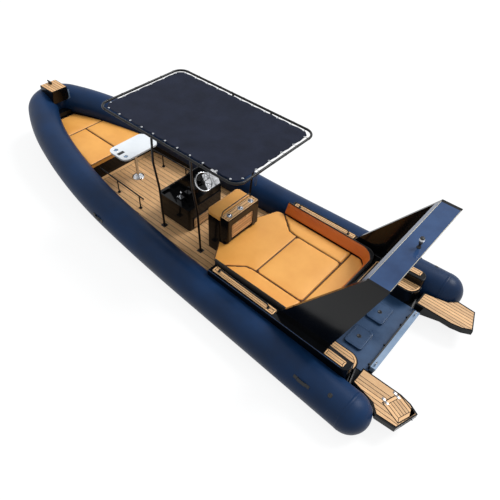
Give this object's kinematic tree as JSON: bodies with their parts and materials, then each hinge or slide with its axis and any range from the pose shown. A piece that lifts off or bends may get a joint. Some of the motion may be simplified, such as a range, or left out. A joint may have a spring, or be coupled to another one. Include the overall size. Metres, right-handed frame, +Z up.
{
  "type": "rigid inflatable boat",
  "caption": "Open rigid inflatable boat with a U-shaped air collar, deep-V hull, helm console, sun pads, canopy, raked stern arch and swim platforms.",
  "frame": {"origin": "on the waterline and the centreline, just forward of the transom top", "axes": "+X to the bow, +Y to port, +Z up"},
  "size_m": [10.0919, 3.5848, 2.936],
  "materials": {
    "collar": "satin coated fabric",
    "gelcoat": "gloss black moulding",
    "well": "dark blue-grey moulding",
    "cap": "pale blue-grey moulding",
    "teak": "decking with dark caulk",
    "cushion": "tan marine vinyl",
    "bolster": "orange-brown marine vinyl",
    "rail": "black coated tube",
    "steel": "polished stainless steel",
    "screen": "smoked acrylic",
    "table": "white gloss",
    "cloth": "dark navy canvas",
    "lamp": "white lens on a black stem"
  },
  "bodies": {
    "boat": {"aft_coaming": "gelcoat", "aft_locker": "gelcoat", "aft_pad_aft": "cushion", "aft_pad_centre": "cushion", "aft_pad_forward": "cushion", "aft_pad_port": "cushion", "aft_pad_starboard": "cushion", "arch_beam": "gelcoat", "arch_leg_port": "gelcoat", "arch_leg_starboard": "gelcoat", "boarding_ladder": "steel", "bow_cleat": "rail", "bow_locker": "gelcoat", "bow_pad_front": "cushion", "bow_pad_port": "cushion", "bow_pad_starboard": "cushion", "bow_step": "gelcoat", "bow_step_teak": "teak", "canopy_cloth": "cloth", "canopy_frame": "rail", "canopy_legs": "rail", "cockpit_sole": "teak", "collar_handles": "collar", "collar_tube": "collar", "console": "gelcoat", "cup_holders": "steel", "deck_teak": "teak", "grab_rails": "rail", "helm_back": "gelcoat", "helm_back_teak": "teak", "helm_pad": "cushion", "helm_rail": "rail", "helm_seat_base": "gelcoat", "hull": "gelcoat", "kick_board": "teak", "low_rails": "rail", "nav_light": "lamp", "pad_bolster": "bolster", "platform_port": "gelcoat", "platform_starboard": "gelcoat", "platform_teak": "teak", "side_decks": "gelcoat", "step_teak": "teak", "steps": "gelcoat", "switch_panel": "steel", "table_pedestal": "steel", "table_top": "table", "throttle": "steel", "towing_eyes": "steel", "transom_cap": "cap", "well_floor": "well", "windscreen": "screen", "windscreen_frame": "rail"},
    "steering": {"steering_wheel": "steel"},
    "hatch_port": {"hatch_port": "well"},
    "hatch_starboard": {"hatch_starboard": "well"},
    "ladder_lid": {"ladder_lid": "teak"},
    "seat_leaf": {"helm_leaf": "teak"}
  },
  "joints": [
    {"name": "steering_turn", "type": "hinge", "parent": "boat", "child": "steering", "pos_m": [4.08, 0.01, 1.12], "axis": [-0.7071, 0, 0.7071], "range_deg": [-720, 720]},
    {"name": "hatch_port_lift", "type": "hinge", "parent": "boat", "child": "hatch_port", "pos_m": [0.56, 0.3175, 0.23], "axis": [0, 1, 0], "range_deg": [0, 95]},
    {"name": "hatch_starboard_lift", "type": "hinge", "parent": "boat", "child": "hatch_starboard", "pos_m": [0.56, -0.3175, 0.23], "axis": [0, 1, 0], "range_deg": [0, 95]},
    {"name": "ladder_lid_lift", "type": "hinge", "parent": "boat", "child": "ladder_lid", "pos_m": [-0.50596, 0.97087, 0.36], "axis": [0.3584, 0.9336, 0], "range_deg": [0, 100]},
    {"name": "leaf_lift", "type": "hinge", "parent": "boat", "child": "seat_leaf", "pos_m": [3.081, 0.08, 0.925], "axis": [0, 1, 0], "range_deg": [0, 90]}
  ]
}
